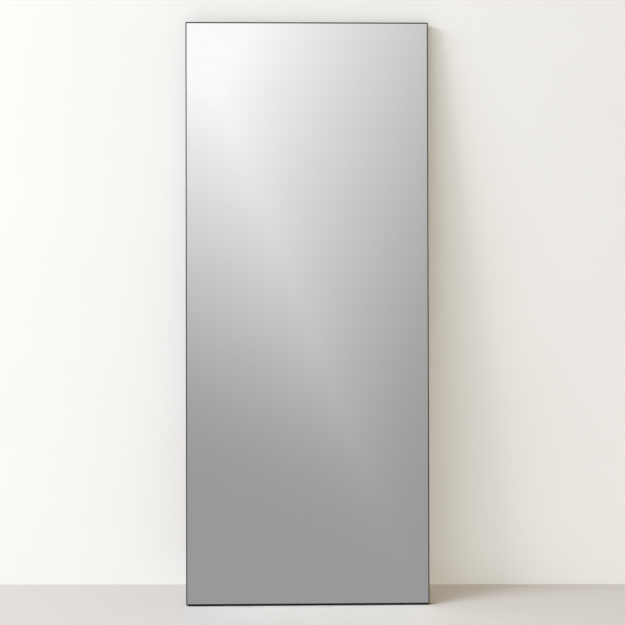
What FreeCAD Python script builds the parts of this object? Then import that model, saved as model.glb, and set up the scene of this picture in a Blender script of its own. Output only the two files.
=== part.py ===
"""Leaning floor mirror: a silvered pane on a board, held in a thin mitred frame that leans on a wall.

Lengths are in millimetres. Every piece is first drawn on the upright mirror, whose own axes are
X across, Y from the front face to the back, and Z up along the frame from its middle.
The finished pieces are then leant back and set on the floor.

Row frame: +Z up, -Y towards the person in front, +Y towards the wall, and the floor at Z = 0.
"""
import FreeCAD, Part
import math
import os

from FreeCAD import Vector

# ---- the whole mirror
WIDTH = 800.0
HEIGHT = 1918.0
DEPTH = 25.4
LEAN = 5.0                 # degrees between the frame and the wall

# ---- frame section, measured inwards from its outer face and back from its front face
WALL = 1.2
LIP_REACH = 3.2            # the thin line seen round the pane
LIP = 1.5
PACK_BACK = 12.5           # front of the flange that backs the pane and board
FLANGE = 1.5
FLANGE_REACH = 25.0
RETURN = 1.5
RETURN_REACH = 7.0
EDGE_RADIUS = 0.3
MITRE_GAP = 0.05

# ---- pane, film, tape and board, which fill the channel of the section
GLASS = 5.0
GLASS_ARRIS = 0.5
FILM = 0.2
TAPE = 0.8
BOARD = 5.0
EDGE_GAP = 0.4             # between the pack and the frame's wall
TAPE_WIDTH = 25.0
TAPE_COUNT = 5
TAPE_MARGIN = 60.0
SPACER_LENGTH = 60.0
SPACER_DEPTH = 9.0

# ---- screws
SHANK_RADIUS = 1.75
SCREW_CLEARANCE = 0.05
SCREW_TIP = 8.5            # depth that every screw reaches, inside the board
TIP_LENGTH = 1.6
HEAD_RADIUS = 3.5
HEAD_HEIGHT = 2.0
HEAD_RIM = 0.6
HEAD_CROWN = 1.6           # radius of the flat on top
HEAD_BULGE = 0.4           # how far the head's dome stands out from a straight cone
RECESS_LENGTH = 4.2
RECESS_WIDTH = 0.9
RECESS_DEPTH = 1.3
RECESS_TURN = 37.0         # each screw stops at another angle

BOARD_SCREW_INSET = 17.0
STILE_SCREWS = 6
STILE_SCREW_MARGIN = 180.0
RAIL_SCREWS = 3
RAIL_SCREW_SPACING = 200.0

# ---- corner plates
PLATE = 2.0
PLATE_INSET = 3.0
PLATE_WIDTH = 20.0
PLATE_LEG = 75.0
PLATE_RADIUS = 3.0
PLATE_SCREW_INSET = 14.5
PLATE_SCREW_STEPS = (30.0, 62.0)

# ---- folded brace across the middle
BRACE = 1.2
BRACE_END = 9.0            # from the frame's outer face
BRACE_HALF_CROWN = 10.0
BRACE_HALF_FOOT = 18.0
BRACE_HEIGHT = 8.0
BRACE_BEND = 1.5
BRACE_SCREW_INSET = 15.0
BRACE_SCREW_OFFSET = 14.0

# ---- strap hangers and their D-rings
HANGER_INSET = 18.5
HANGER_DROP = 384.0        # pivot below the frame's top
STRAP = 1.2
STRAP_HALF_WIDTH = 5.5
STRAP_LENGTH = 44.0
STRAP_END_RADIUS = 5.4
NECK_HALF_WIDTH = 4.5
NECK_LENGTH = 5.0
STRAP_SCREW_STEPS = (22.5, 36.0)
RING_WIRE = 1.5            # radius
RING_HALF_WIDTH = 7.5
RING_BEND = 2.5
RING_LEG = 8.0
PIVOT_CLEARANCE = 0.1
CURL_GAP = 0.5

# ---- tabs for an anti-tip strap
TAB = 1.5
TAB_INSET = 17.0
TAB_DROP = 125.0           # below the frame's top
TAB_HALF_WIDTH = 7.0
TAB_HALF_LENGTH = 10.0
TAB_HEIGHT = 10.0
TAB_RADIUS = 3.0
EYE_RADIUS = 3.0
EYE_HEIGHT = 5.4
TAB_SCREW_SHIFT = 2.0
TAB_SCREW_OFFSET = 6.0

# ---- rubber pads on the back, and the rubber strip underneath
WALL_PAD_LENGTH = 50.0
WALL_PAD_INSET = 0.5
WALL_PAD_HEIGHT = 6.0
WALL_PAD = 1.5             # thickness at its top edge
WALL_PAD_END = 20.0        # from the frame's side
WALL_PAD_RADIUS = 1.0
FOOT_END = 5.0             # from the frame's side
FOOT_FRONT = 1.5
FOOT_BACK = 23.0
FOOT_RADIUS = 3.0
FOOT_LIFT = 4.0            # height of the frame's front bottom edge over the floor

# ---- drawing aids
PAST = 1.0                 # a cutting shape runs this far past the face it cuts
TINY = 1e-6

# ---- worked out from the sizes above
HALF_WIDTH = WIDTH / 2
HALF_HEIGHT = HEIGHT / 2
SEAT = PACK_BACK + FLANGE  # back of the flange, which carries the hardware
PACK_INSET = WALL + EDGE_GAP
FILM_FRONT = LIP + GLASS
TAPE_FRONT = FILM_FRONT + FILM
BOARD_FRONT = TAPE_FRONT + TAPE
SIN_LEAN = math.sin(math.radians(LEAN))
COS_LEAN = math.cos(math.radians(LEAN))
# wall plane, measured level from the frame's front bottom edge
WALL_REACH = (DEPTH + WALL_PAD) * COS_LEAN + (HEIGHT - WALL_PAD_INSET) * SIN_LEAN


def outline(corners, place):
    """Closed wire through (a, b, radius) corners; place turns (a, b) into a point."""
    points = [Vector(a, b, 0) for a, b, radius in corners]
    bends = []
    for index, corner in enumerate(points):
        radius = corners[index][2]
        before = points[index - 1] - corner
        after = points[(index + 1) % len(points)] - corner
        before.normalize()
        after.normalize()
        half = before.getAngle(after) / 2
        run = radius / math.tan(half)
        bisector = before + after
        bisector.normalize()
        middle = corner + bisector * (radius / math.sin(half) - radius)
        bends.append([place(p) for p in (corner + before * run, middle, corner + after * run)])
    edges = []
    for index, (enter, middle, leave) in enumerate(bends):
        following = bends[(index + 1) % len(bends)][0]
        if corners[index][2]:
            edges.append(Part.Arc(enter, middle, leave).toShape())
        if (following - leave).Length > TINY:
            edges.append(Part.LineSegment(leave, following).toShape())
    return Part.Wire(edges)


def prism(corners, place, sweep):
    """Solid whose base has the given corners, swept along a vector."""
    return Part.Face(outline(corners, place)).extrude(sweep)


def block(x_range, y_range, z_range):
    """Box between two limits on each axis."""
    size = [high - low for low, high in (x_range, y_range, z_range)]
    return Part.makeBox(*size, Vector(x_range[0], y_range[0], z_range[0]))


def sheet(corners, front, thickness):
    """Flat sheet that faces front and back, drawn by its (x, z, radius) corners."""
    return prism(corners, lambda p: Vector(p.x, front, p.y), Vector(0, thickness, 0))


def rod(radius, centre, along):
    """Cylinder that starts at a point and runs along a vector."""
    return Part.makeCylinder(radius, along.Length, centre, along)


# ---- screws: every site is (x, z, depth that its head sits on)
def mirrored(sites):
    """The given sites and the same ones across the middle of the mirror."""
    return sites + [(-x, z, seat) for x, z, seat in sites]


def corner_sites():
    seat = SEAT + PLATE
    sites = []
    for side in (-1, 1):
        for step in PLATE_SCREW_STEPS:
            sites.append((HALF_WIDTH - step, side * (HALF_HEIGHT - PLATE_SCREW_INSET), seat))
            sites.append((HALF_WIDTH - PLATE_SCREW_INSET, side * (HALF_HEIGHT - step), seat))
    return mirrored(sites)


def board_sites():
    reach = HALF_HEIGHT - STILE_SCREW_MARGIN
    pitch = 2 * reach / (STILE_SCREWS - 1)
    stile_x = HALF_WIDTH - BOARD_SCREW_INSET
    sites = mirrored([(stile_x, -reach + pitch * index, SEAT) for index in range(STILE_SCREWS)])
    for side in (-1, 1):
        for index in range(RAIL_SCREWS):
            x = (index - (RAIL_SCREWS - 1) / 2) * RAIL_SCREW_SPACING
            sites.append((x, side * (HALF_HEIGHT - BOARD_SCREW_INSET), SEAT))
    return sites


def brace_sites():
    x = HALF_WIDTH - BRACE_SCREW_INSET
    return mirrored([(x, side * BRACE_SCREW_OFFSET, SEAT + BRACE) for side in (-1, 1)])


def hanger_sites():
    x = HALF_WIDTH - HANGER_INSET
    pivot = HALF_HEIGHT - HANGER_DROP
    return mirrored([(x, pivot - step, SEAT + STRAP) for step in STRAP_SCREW_STEPS])


def tether_sites():
    x = HALF_WIDTH - TAB_INSET + TAB_SCREW_SHIFT
    z = HALF_HEIGHT - TAB_DROP
    return mirrored([(x, z + side * TAB_SCREW_OFFSET, SEAT + TAB) for side in (-1, 1)])


def screw(length):
    """Pan-head screw along +Z, with the underside of its head at the origin."""
    rim = Vector(HEAD_RADIUS, 0, HEAD_RIM)
    crown = Vector(HEAD_CROWN, 0, HEAD_HEIGHT)
    outwards = Vector(crown.z - rim.z, 0, rim.x - crown.x)
    outwards.normalize()
    dome = (rim + crown) / 2 + outwards * HEAD_BULGE
    below = [
        Vector(0, 0, HEAD_HEIGHT),
        Vector(0, 0, -length),
        Vector(SHANK_RADIUS, 0, TIP_LENGTH - length),
        Vector(SHANK_RADIUS, 0, 0),
        Vector(HEAD_RADIUS, 0, 0),
        rim,
    ]
    edges = [Part.LineSegment(a, b).toShape() for a, b in zip(below, below[1:])]
    edges.append(Part.Arc(rim, dome, crown).toShape())
    edges.append(Part.LineSegment(crown, below[0]).toShape())
    body = Part.Face(Part.Wire(edges)).revolve(Vector(0, 0, 0), Vector(0, 0, 1), 360)
    half = RECESS_LENGTH / 2
    width = RECESS_WIDTH / 2
    heights = (HEAD_HEIGHT - RECESS_DEPTH, HEAD_HEIGHT + PAST)
    cross = block((-half, half), (-width, width), heights)
    cross = cross.fuse(block((-width, width), (-half, half), heights))
    return body.cut(cross)


def screws(sites):
    """One screw at each site, driven from the back, each stopped at its own angle."""
    made = []
    for index, (x, z, seat) in enumerate(sites):
        piece = screw(seat - SCREW_TIP)
        piece.rotate(Vector(0, 0, 0), Vector(0, 0, 1), RECESS_TURN * index)
        piece.rotate(Vector(0, 0, 0), Vector(1, 0, 0), -90)
        piece.translate(Vector(x, seat, z))
        made.append(piece)
    return Part.makeCompound(made)


def drilled(shape, sites):
    """The shape with a hole for each screw that passes through its outline."""
    box = shape.BoundBox
    radius = SHANK_RADIUS + SCREW_CLEARANCE
    start = SCREW_TIP - SCREW_CLEARANCE
    holes = [
        rod(radius, Vector(x, start, z), Vector(0, DEPTH - start, 0))
        for x, z, seat in sites
        if box.XMin < x < box.XMax and box.ZMin < z < box.ZMax
    ]
    return shape.cut(holes) if holes else shape


# ---- frame
def frame_bar(length, half_span):
    """One mitred length of the section, along X, with its outer face at Z = -half_span."""
    section = [
        (0, 0, EDGE_RADIUS),
        (LIP_REACH, 0, EDGE_RADIUS),
        (LIP_REACH, LIP, 0),
        (WALL, LIP, 0),
        (WALL, PACK_BACK, 0),
        (FLANGE_REACH, PACK_BACK, 0),
        (FLANGE_REACH, SEAT, EDGE_RADIUS),
        (WALL, SEAT, EDGE_RADIUS),
        (WALL, DEPTH - RETURN, EDGE_RADIUS),
        (RETURN_REACH, DEPTH - RETURN, EDGE_RADIUS),
        (RETURN_REACH, DEPTH, EDGE_RADIUS),
        (0, DEPTH, EDGE_RADIUS),
    ]
    half = length / 2
    bar = prism(section, lambda p: Vector(-half, p.y, p.x - half_span), Vector(length, 0, 0))
    inner = FLANGE_REACH + PAST
    mitres = [
        (MITRE_GAP - half, -half_span, 0),
        (half - MITRE_GAP, -half_span, 0),
        (half - MITRE_GAP - inner, inner - half_span, 0),
        (MITRE_GAP + inner - half, inner - half_span, 0),
    ]
    return bar.common(sheet(mitres, -PAST, DEPTH + 2 * PAST))


def turned(shape, degrees):
    """The shape turned in the plane of the pane, about the middle of the mirror."""
    shape.rotate(Vector(0, 0, 0), Vector(0, 1, 0), degrees)
    return shape


def frame_bars(sites):
    bars = {
        "rail_bottom": frame_bar(WIDTH, HALF_HEIGHT),
        "stile_left": turned(frame_bar(HEIGHT, HALF_WIDTH), 90),
        "rail_top": turned(frame_bar(WIDTH, HALF_HEIGHT), 180),
        "stile_right": turned(frame_bar(HEIGHT, HALF_WIDTH), -90),
    }
    return {name: drilled(bar, sites) for name, bar in bars.items()}


def corner_plates(sites):
    """Four flat L-shaped plates on the flange, one across each mitre."""
    near = PLATE_INSET
    far = PLATE_INSET + PLATE_WIDTH
    end = PLATE_INSET + PLATE_LEG
    plates = {}
    for side, x_sign in (("left", -1), ("right", 1)):
        for level, z_sign in (("bottom", -1), ("top", 1)):
            corners = [
                (near, near, PLATE_RADIUS),
                (end, near, PLATE_RADIUS),
                (end, far, PLATE_RADIUS),
                (far, far, PLATE_RADIUS),
                (far, end, PLATE_RADIUS),
                (near, end, PLATE_RADIUS),
            ]
            placed = [
                (x_sign * (HALF_WIDTH - x), z_sign * (HALF_HEIGHT - z), radius)
                for x, z, radius in corners
            ]
            plates[f"corner_plate_{level}_{side}"] = drilled(sheet(placed, SEAT, PLATE), sites)
    return plates


# ---- pane and what lies behind it
def pack_sheet(front, thickness):
    """Sheet of the pane's outline."""
    half_x = HALF_WIDTH - PACK_INSET
    half_z = HALF_HEIGHT - PACK_INSET
    return block((-half_x, half_x), (front, front + thickness), (-half_z, half_z))


def mirror_glass():
    pane = pack_sheet(LIP, GLASS)
    rim = [edge for edge in pane.Edges if edge.BoundBox.YLength < GLASS / 2]
    return pane.makeChamfer(GLASS_ARRIS, rim)


def bonding_tapes():
    reach = HALF_HEIGHT - TAPE_MARGIN
    span = HALF_WIDTH - TAPE_MARGIN
    strips = []
    for index in range(TAPE_COUNT):
        x = -span + 2 * span * index / (TAPE_COUNT - 1)
        edges = (x - TAPE_WIDTH / 2, x + TAPE_WIDTH / 2)
        strips.append(block(edges, (TAPE_FRONT, BOARD_FRONT), (-reach, reach)))
    return Part.makeCompound(strips)


def edge_strip(x, half_span, degrees):
    """Thin strip between the frame's wall and the pack, on the side that degrees turns it to."""
    middle = (LIP + PACK_BACK) / 2
    depth = (middle - SPACER_DEPTH / 2, middle + SPACER_DEPTH / 2)
    along = (x - SPACER_LENGTH / 2, x + SPACER_LENGTH / 2)
    return turned(block(along, depth, (WALL - half_span, PACK_INSET - half_span)), degrees)


def setting_pads():
    quarter = WIDTH / 4
    return Part.makeCompound([edge_strip(x, HALF_HEIGHT, 0) for x in (-quarter, quarter)])


def edge_spacers():
    quarter = WIDTH / 4
    third = HEIGHT / 3
    strips = [edge_strip(x, HALF_HEIGHT, 180) for x in (-quarter, quarter)]
    for degrees in (90, -90):
        strips += [edge_strip(x, HALF_WIDTH, degrees) for x in (-third, 0, third)]
    return Part.makeCompound(strips)


# ---- hardware on the back
def centre_brace(sites):
    """Hat-shaped stiffener that lies on both stiles."""
    top = SEAT + BRACE_HEIGHT
    inner = BRACE_HALF_CROWN - BRACE
    foot = SEAT + BRACE
    half_section = [
        (inner, top - BRACE, EDGE_RADIUS),
        (inner, SEAT, EDGE_RADIUS),
        (BRACE_HALF_FOOT, SEAT, 0),
        (BRACE_HALF_FOOT, foot, 0),
        (BRACE_HALF_CROWN, foot, EDGE_RADIUS),
        (BRACE_HALF_CROWN, top, BRACE_BEND),
    ]
    section = half_section + [(-z, y, radius) for z, y, radius in reversed(half_section)]
    end = BRACE_END - HALF_WIDTH
    bar = prism(section, lambda p: Vector(end, p.y, p.x), Vector(-2 * end, 0, 0))
    return drilled(bar, sites)


def hanger_strap(side, sites):
    """Strap whose upper end is curled round the straight side of its D-ring."""
    x = side * (HALF_WIDTH - HANGER_INSET)
    pivot = HALF_HEIGHT - HANGER_DROP
    bore = RING_WIRE + PIVOT_CLEARANCE
    curl = bore + STRAP
    centre = Vector(x - NECK_HALF_WIDTH, SEAT + curl, pivot)
    width = Vector(2 * NECK_HALF_WIDTH, 0, 0)
    corners = [
        (x - STRAP_HALF_WIDTH, pivot - STRAP_LENGTH, STRAP_END_RADIUS),
        (x + STRAP_HALF_WIDTH, pivot - STRAP_LENGTH, STRAP_END_RADIUS),
        (x + STRAP_HALF_WIDTH, pivot - NECK_LENGTH, 0),
        (x + NECK_HALF_WIDTH, pivot - NECK_LENGTH, 0),
        (x + NECK_HALF_WIDTH, pivot, 0),
        (x - NECK_HALF_WIDTH, pivot, 0),
        (x - NECK_HALF_WIDTH, pivot - NECK_LENGTH, 0),
        (x - STRAP_HALF_WIDTH, pivot - NECK_LENGTH, 0),
    ]
    strap = sheet(corners, SEAT, STRAP).fuse(rod(curl, centre, width))
    strap = strap.cut(rod(bore, centre, width))
    gap = block(
        (x - NECK_HALF_WIDTH, x + NECK_HALF_WIDTH),
        (SEAT + STRAP, SEAT + STRAP + CURL_GAP),
        (pivot - curl, pivot - bore / 2),
    )
    return drilled(strap.cut(gap).removeSplitter(), sites)


def hanger_ring(side):
    """D-ring of round wire that hangs straight down from its pivot once the frame leans."""
    flat = RING_HALF_WIDTH - RING_BEND
    mid_bend = RING_BEND * (1 - math.sqrt(0.5))
    right = RING_HALF_WIDTH
    points = [
        Vector(flat, 0, 0),
        Vector(right - mid_bend, 0, -mid_bend),
        Vector(right, 0, -RING_BEND),
        Vector(right, 0, -RING_LEG),
    ]
    across = [Vector(-p.x, 0, p.z) for p in points]
    path = [
        Part.LineSegment(across[0], points[0]),
        Part.Arc(points[0], points[1], points[2]),
        Part.LineSegment(points[2], points[3]),
        Part.Arc(points[3], Vector(0, 0, -RING_LEG - right), across[3]),
        Part.LineSegment(across[3], across[2]),
        Part.Arc(across[2], across[1], across[0]),
    ]
    wire = Part.Wire([edge.toShape() for edge in path])
    start = Part.Wire(Part.makeCircle(RING_WIRE, across[0], Vector(1, 0, 0)))
    ring = wire.makePipeShell([start], True, False)
    ring.rotate(Vector(0, 0, 0), Vector(1, 0, 0), LEAN)
    x = side * (HALF_WIDTH - HANGER_INSET)
    axis_depth = SEAT + STRAP + RING_WIRE + PIVOT_CLEARANCE
    ring.translate(Vector(x, axis_depth, HALF_HEIGHT - HANGER_DROP))
    return ring


def tether_bracket(side, sites):
    """Folded tab; its upstand is on the inner side, with an eye across it."""
    inner = -TAB_HALF_WIDTH
    profile = [
        (TAB_HALF_WIDTH, SEAT, 0),
        (inner, SEAT, TAB),
        (inner, SEAT + TAB_HEIGHT, 0),
        (inner + TAB, SEAT + TAB_HEIGHT, 0),
        (inner + TAB, SEAT + TAB, EDGE_RADIUS),
        (TAB_HALF_WIDTH, SEAT + TAB, 0),
    ]
    length = 2 * TAB_HALF_LENGTH
    tab = prism(profile, lambda p: Vector(p.x, p.y, -TAB_HALF_LENGTH), Vector(0, 0, length))
    rounded = []
    for edge in tab.Edges:
        box = edge.BoundBox
        at_end = box.ZLength < TINY
        on_top = box.YMin > SEAT + TAB_HEIGHT - TINY
        on_rim = box.XMin > TAB_HALF_WIDTH - TINY
        if at_end and (on_top or on_rim):
            rounded.append(edge)
    tab = tab.makeFillet(TAB_RADIUS, rounded)
    eye = Vector(inner - PAST, SEAT + EYE_HEIGHT, 0)
    tab = tab.cut(rod(EYE_RADIUS, eye, Vector(TAB + 2 * PAST, 0, 0)))
    if side < 0:
        turned(tab, 180)
    tab.translate(Vector(side * (HALF_WIDTH - TAB_INSET), 0, HALF_HEIGHT - TAB_DROP))
    return drilled(tab, sites)


# ---- rubber parts, cut to the level floor and to the upright wall
def floor_height(depth):
    """Z of the floor under a point of the upright drawing, by its depth."""
    return (depth * SIN_LEAN - FOOT_LIFT) / COS_LEAN - HALF_HEIGHT


def wall_depth(z):
    """Depth of the wall behind a point of the upright drawing, by its Z."""
    return (WALL_REACH - (z + HALF_HEIGHT) * SIN_LEAN) / COS_LEAN


def eased(pad, radius):
    """The pad with the short edges at its two ends rounded."""
    short = [e for e in pad.Edges if e.BoundBox.XLength < TINY and e.Length < FOOT_LIFT]
    return pad.makeFillet(radius, short)


def foot_strip():
    profile = [
        (FOOT_FRONT, -HALF_HEIGHT, 0),
        (FOOT_BACK, -HALF_HEIGHT, 0),
        (FOOT_BACK, floor_height(FOOT_BACK), 0),
        (FOOT_FRONT, floor_height(FOOT_FRONT), 0),
    ]
    start = FOOT_END - HALF_WIDTH
    pad = prism(profile, lambda p: Vector(start, p.x, p.y), Vector(-2 * start, 0, 0))
    return eased(pad, FOOT_RADIUS)


def wall_pad(side):
    top = HALF_HEIGHT - WALL_PAD_INSET
    bottom = top - WALL_PAD_HEIGHT
    profile = [
        (DEPTH, bottom, 0),
        (DEPTH, top, 0),
        (wall_depth(top), top, 0),
        (wall_depth(bottom), bottom, 0),
    ]
    middle = side * (HALF_WIDTH - WALL_PAD_END - WALL_PAD_LENGTH / 2)
    start = middle - WALL_PAD_LENGTH / 2
    pad = prism(profile, lambda p: Vector(start, p.x, p.y), Vector(WALL_PAD_LENGTH, 0, 0))
    return eased(pad, WALL_PAD_RADIUS)


def build():
    """Every piece on the upright mirror, by its node's name."""
    corner, board, brace = corner_sites(), board_sites(), brace_sites()
    hanger, tether = hanger_sites(), tether_sites()
    every = corner + board + brace + hanger + tether
    pieces = frame_bars(every)
    pieces.update(corner_plates(corner))
    pieces["mirror_glass"] = mirror_glass()
    pieces["safety_film"] = pack_sheet(FILM_FRONT, FILM)
    pieces["bonding_tapes"] = bonding_tapes()
    pieces["backing_board"] = drilled(pack_sheet(BOARD_FRONT, BOARD), every)
    pieces["setting_pads"] = setting_pads()
    pieces["edge_spacers"] = edge_spacers()
    pieces["centre_brace"] = centre_brace(brace)
    pieces["corner_screws"] = screws(corner)
    pieces["board_screws"] = screws(board)
    pieces["brace_screws"] = screws(brace)
    pieces["hanger_screws"] = screws(hanger)
    pieces["tether_screws"] = screws(tether)
    for name, side in (("left", -1), ("right", 1)):
        pieces[f"hanger_strap_{name}"] = hanger_strap(side, hanger)
        pieces[f"hanger_ring_{name}"] = hanger_ring(side)
        pieces[f"tether_bracket_{name}"] = tether_bracket(side, tether)
        pieces[f"wall_pad_{name}"] = wall_pad(side)
    pieces["foot_strip"] = foot_strip()
    return pieces


def leant(shape):
    """The shape leant back and set on the floor, with the origin under the middle of the mirror."""
    shape.translate(Vector(0, 0, HALF_HEIGHT))
    shape.rotate(Vector(0, 0, 0), Vector(1, 0, 0), -LEAN)
    shape.translate(Vector(0, -WALL_REACH / 2, FOOT_LIFT))
    return shape


def main():
    os.makedirs("parts", exist_ok=True)
    for name, shape in build().items():
        leant(shape).exportStep(f"parts/{name}.step")
        box = shape.BoundBox
        print(
            f"{name}: {len(shape.Solids)} solids, {shape.Volume:.1f} mm3, valid {shape.isValid()},",
            f"X {box.XMin:.2f} to {box.XMax:.2f}, Y {box.YMin:.2f} to {box.YMax:.2f},",
            f"Z {box.ZMin:.2f} to {box.ZMax:.2f}",
        )


main()
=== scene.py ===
import math

import bmesh
import bpy
from bpy.props import FloatProperty, FloatVectorProperty, IntProperty, PointerProperty
from bpy.types import Operator, Panel, PropertyGroup
from mathutils import Matrix, Vector


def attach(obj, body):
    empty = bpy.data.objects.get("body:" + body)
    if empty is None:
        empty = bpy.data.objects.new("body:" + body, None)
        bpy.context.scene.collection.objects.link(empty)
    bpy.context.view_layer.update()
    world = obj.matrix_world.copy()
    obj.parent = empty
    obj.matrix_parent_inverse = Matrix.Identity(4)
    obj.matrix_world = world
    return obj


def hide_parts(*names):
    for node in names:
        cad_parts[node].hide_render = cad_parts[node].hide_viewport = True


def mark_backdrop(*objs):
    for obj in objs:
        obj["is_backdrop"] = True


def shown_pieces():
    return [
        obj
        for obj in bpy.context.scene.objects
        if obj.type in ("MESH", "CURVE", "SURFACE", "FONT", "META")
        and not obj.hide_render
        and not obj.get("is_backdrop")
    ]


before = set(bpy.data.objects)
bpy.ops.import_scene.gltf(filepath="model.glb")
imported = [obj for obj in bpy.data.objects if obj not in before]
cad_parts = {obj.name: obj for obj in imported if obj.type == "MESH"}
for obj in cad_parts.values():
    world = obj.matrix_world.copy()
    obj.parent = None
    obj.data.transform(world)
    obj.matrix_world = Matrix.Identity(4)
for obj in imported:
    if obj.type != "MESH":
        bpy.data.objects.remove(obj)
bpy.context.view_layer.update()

bl_info = {
    "name": "Leaning floor mirror",
    "version": (1, 0, 0),
    "blender": (4, 5, 0),
    "location": "View3D > Sidebar > Floor Mirror",
    "description": "Finishes, moulded rubber strips and studio of a mirror that leans on a wall",
    "category": "Object",
}

BODY = "frame_and_pane"
MM = 0.001

# ---- how the mirror stands, as in the CAD
HALF_WIDTH = 400.0 * MM
HEIGHT = 1918.0 * MM
DEPTH = 25.4 * MM
LEAN = math.radians(5.0)
FOOT_LIFT = 4.0 * MM          # of the frame's front bottom edge over the floor
STANDOFF = 96.959 * MM        # from the middle of the row frame to the wall
DRAWN = Vector((0, -STANDOFF, FOOT_LIFT))    # where the upright drawing's origin comes to lie
UP = Vector((0, math.sin(LEAN), math.cos(LEAN)))       # up along the frame
BACK = Vector((0, math.cos(LEAN), -math.sin(LEAN)))    # from the frame's front to its back
ALONG = 0.99                  # cosine over which a normal or an edge counts as along an axis
TOUCHING = 0.01 * MM          # from the floor or the wall, within which a face lies on it

# ---- sockets of a Mix node by number, because its kinds share their names
A, B, MIXED = 6, 7, 2         # of colours
PLAIN_A, PLAIN_B = 2, 3       # of plain values


# ---- the sRGB curve: a power with an offset, and a straight line near black
CURVE_OFFSET, CURVE_SCALE, CURVE_POWER = 0.055, 1.055, 2.4
LINE_END, LINE_SCALE = 0.04045, 12.92


def linear(hex_colour):
    """An sRGB colour such as #17181A as linear red, green, blue and alpha."""
    parts = [int(hex_colour[i:i + 2], 16) / 255 for i in (1, 3, 5)]
    return (*[v / LINE_SCALE if v <= LINE_END
              else ((v + CURVE_OFFSET) / CURVE_SCALE) ** CURVE_POWER for v in parts], 1.0)


def row(x, depth, up):
    """A point of the upright drawing in the row frame."""
    return DRAWN + Vector((x, 0, 0)) + depth * BACK + up * UP


# ---------------------------------------------------------------- what a user would change

class MirrorSizes(PropertyGroup):
    foot_inset: FloatProperty(
        name="Foot inset", description="From the frame's side to the end of the strip underneath",
        default=5 * MM, unit="LENGTH")
    foot_front: FloatProperty(
        name="Foot front", description="Where the strip starts, back from the front face",
        default=1.5 * MM, unit="LENGTH")
    foot_back: FloatProperty(
        name="Foot back", description="Where the strip ends, back from the front face",
        default=23 * MM, unit="LENGTH")
    foot_flange: FloatProperty(
        name="Foot flange", description="Thickness of the strip's wider top",
        default=0.9 * MM, unit="LENGTH")
    foot_grooves: IntProperty(
        name="Foot grooves", description="Number of grooves along the strip's sole",
        default=3, min=1)
    strip_length: FloatProperty(
        name="Strip length", description="Length of each rubber strip that meets the wall",
        default=50 * MM, unit="LENGTH")
    strip_inset: FloatProperty(
        name="Strip inset", description="From the frame's side to the strip's near end",
        default=20 * MM, unit="LENGTH")
    strip_height: FloatProperty(
        name="Strip height", description="Height of the strip up the frame",
        default=6 * MM, unit="LENGTH")
    strip_drop: FloatProperty(
        name="Strip drop", description="From the frame's top down to the strip",
        default=0.5 * MM, unit="LENGTH")


class MirrorColours(PropertyGroup):
    coat: FloatVectorProperty(
        name="Powder coat", description="Black coat of the frame", subtype="COLOR",
        size=4, default=linear("#0C0C0D"), min=0, max=1)
    black_steel: FloatVectorProperty(
        name="Coated steel", description="Black powder coat of the brace and strap tabs",
        subtype="COLOR", size=4, default=linear("#17181A"), min=0, max=1)
    zinc: FloatVectorProperty(
        name="Zinc plate", description="Plated steel of corner plates, hangers and screws",
        subtype="COLOR", size=4, default=linear("#C3C6C9"), min=0, max=1)
    nickel: FloatVectorProperty(
        name="Nickel wire", description="Plated wire of the hanging rings",
        subtype="COLOR", size=4, default=linear("#D3CEC3"), min=0, max=1)
    silver: FloatVectorProperty(
        name="Silvering", description="What the mirror gives back of a white light",
        subtype="COLOR", size=4, default=linear("#F3F4F3"), min=0, max=1)
    board: FloatVectorProperty(
        name="Fibreboard", description="Backing board", subtype="COLOR",
        size=4, default=linear("#8A6647"), min=0, max=1)
    rubber: FloatVectorProperty(
        name="Rubber", description="Strips and glazing blocks", subtype="COLOR",
        size=4, default=linear("#111111"), min=0, max=1)


class StudioSettings(PropertyGroup):
    key_power: FloatProperty(
        name="Key light", description="Power of the large soft light at upper left",
        default=395.0, unit="POWER")
    fill: FloatProperty(
        name="Fill light", description="Level light from the front that throws no shadow",
        default=0.829)
    rear_power: FloatProperty(
        name="Rear light", description="Power of the soft light that shows the back",
        default=75.0, unit="POWER")
    ambient: FloatVectorProperty(
        name="Room light", description="Even light from all round", subtype="COLOR",
        size=4, default=(0.302, 0.247, 0.112, 1.0), min=0, max=1)
    window: FloatVectorProperty(
        name="Window light", description="What the room gives more from the left",
        subtype="COLOR", size=4, default=(1.26, 1.32, 1.74, 1.0), min=0)
    thrown: FloatVectorProperty(
        name="Thrown light", description="Window light that the pane throws on to the floor",
        subtype="COLOR", size=4, default=(10.2, 10.5, 11.0, 1.0), min=0)
    lens: FloatProperty(
        name="Lens", description="Focal length on a 36 mm frame", default=57.06,
        unit="CAMERA")


# ---------------------------------------------------------------- materials

def add(tree, kind, inputs=None, **settings):
    """Adds a node with its settings; inputs take a plain value or another node's output."""
    made = tree.nodes.new(kind)
    for name, value in settings.items():
        setattr(made, name, value)
    for socket, value in (inputs or {}).items():
        if isinstance(value, bpy.types.NodeSocket):
            tree.links.new(value, made.inputs[socket])
        else:
            made.inputs[socket].default_value = value
    return made


def started(name):
    """A new material with its empty node tree and its Object coordinates."""
    made = bpy.data.materials.new(name)
    made.use_nodes = True
    made.node_tree.nodes.clear()
    return made, made.node_tree, add(made.node_tree, "ShaderNodeTexCoord").outputs["Object"]


def drawn_parts(tree, place):
    """Coordinates in the upright drawing: X across, Y back from the front face and Z up."""
    drawn = add(tree, "ShaderNodeMapping", {
        "Vector": place, "Location": DRAWN, "Rotation": (-LEAN, 0, 0)}, vector_type="TEXTURE")
    return add(tree, "ShaderNodeSeparateXYZ", {0: drawn.outputs[0]})


def shade(colour, share):
    """A colour made lighter or darker by a share of itself."""
    return (*[min(v * share, 1.0) for v in colour[:3]], 1.0)


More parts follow.
